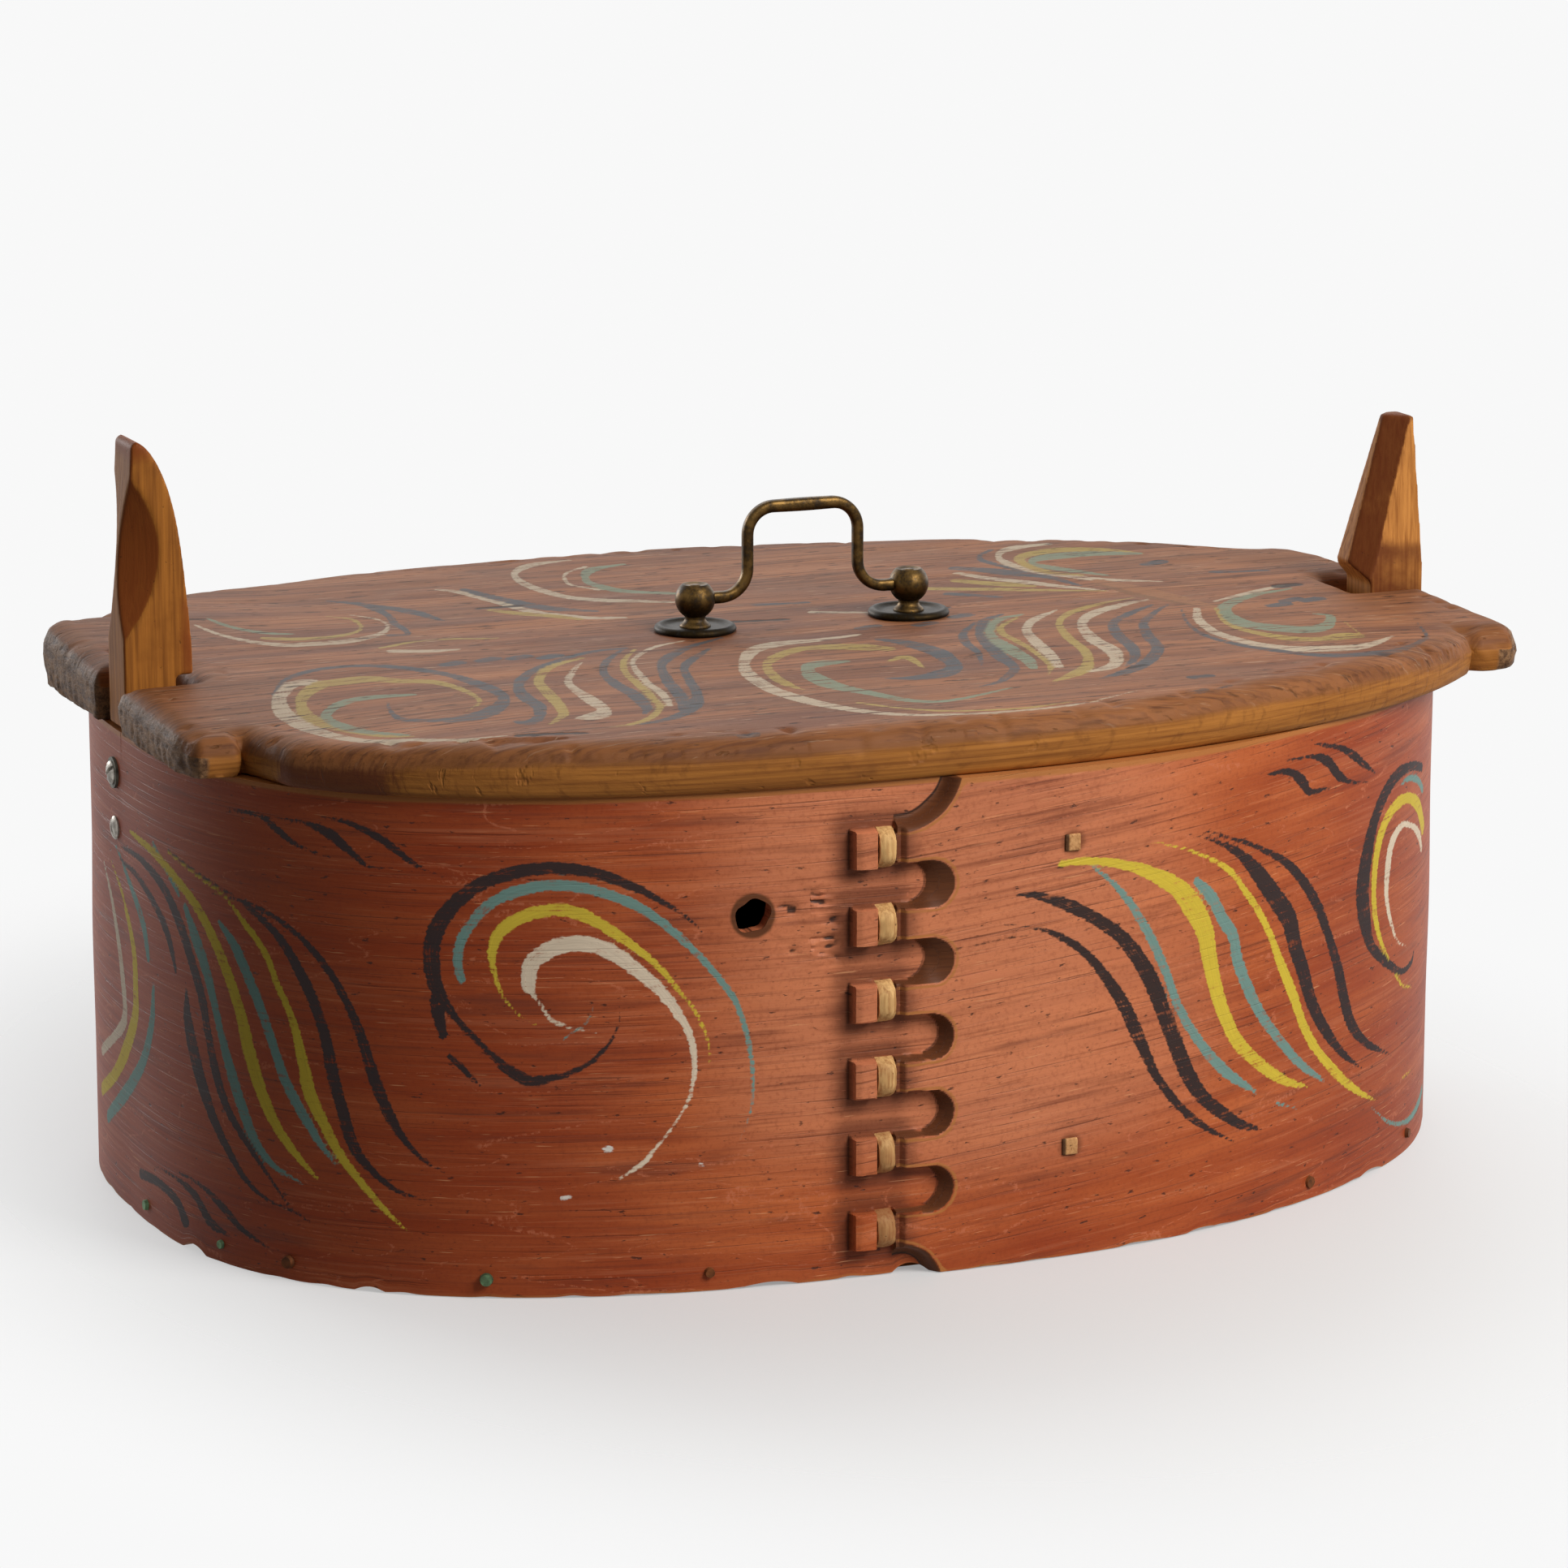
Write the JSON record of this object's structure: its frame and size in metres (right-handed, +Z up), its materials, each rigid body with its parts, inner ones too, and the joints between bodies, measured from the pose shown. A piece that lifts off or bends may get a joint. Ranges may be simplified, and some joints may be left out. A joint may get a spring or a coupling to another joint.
{
  "type": "bentwood lidded box",
  "caption": "Oval bentwood food box with a sewn lap seam, a pegged bottom board, a lift-off lid held between sprung end posts, and a swinging bail handle.",
  "frame": {"origin": "on the floor, at the middle of the band's length and width", "axes": "+X along the box towards its narrower end, -Y towards the sewn lap on its front, +Z up"},
  "size_m": [0.478, 0.3355, 0.257],
  "materials": {
    "wall_wood": "red-brown stain over thin bent board, worn",
    "bottom_wood": "bare planed board, darkened",
    "peg_wood": "whittled pegs, darkened",
    "nail": "copper nails with a green patina",
    "root_fibre": "split root, stained with the wall",
    "post_wood": "carved pine, golden brown and worn",
    "lid_wood": "weathered red-brown stain, bare worn edge",
    "steel": "dulled screw steel",
    "brass": "dark patina, rubbed bright on the edges"
  },
  "bodies": {
    "box": {"band": "wall_wood", "bottom_board": "bottom_wood", "bottom_pegs": "peg_wood", "bottom_nails": "nail", "lap_pegs": "peg_wood", "root_stitch_1": "root_fibre", "root_stitch_2": "root_fibre", "root_stitch_3": "root_fibre", "root_stitch_4": "root_fibre", "root_stitch_5": "root_fibre", "root_stitch_6": "root_fibre", "left_screw_upper": "steel", "left_screw_washer": "steel", "left_screw_lower": "steel", "right_post_pegs": "peg_wood"},
    "left_post": {"left_post": "post_wood"},
    "right_post": {"right_post": "post_wood"},
    "lid": {"lid_board": "lid_wood", "left_rose": "brass", "right_rose": "brass", "left_pillar": "brass", "right_pillar": "brass", "left_nut": "brass", "right_nut": "brass"},
    "bail": {"bail": "brass"}
  },
  "joints": [
    {"name": "lid_lift", "type": "slide", "parent": "box", "child": "lid", "axis": [0, 0, 1], "range_m": [0, 0.11]},
    {"name": "left_post_spring", "type": "hinge", "parent": "box", "child": "left_post", "pos_m": [-0.2224, 0.0035, 0.0143], "axis": [0, 1, 0], "range_deg": [0, 1.2], "stiffness_Nm_per_rad": 40, "springref_deg": 1.72},
    {"name": "right_post_spring", "type": "hinge", "parent": "box", "child": "right_post", "pos_m": [0.2224, 0.0035, 0.0143], "axis": [0, -1, 0], "range_deg": [0, 1.2], "stiffness_Nm_per_rad": 40, "springref_deg": 1.72},
    {"name": "bail_swing", "type": "hinge", "parent": "lid", "child": "bail", "pos_m": [0.009, 0.007, 0.1894], "axis": [1, 0, 0], "range_deg": [-100, 100]}
  ]
}
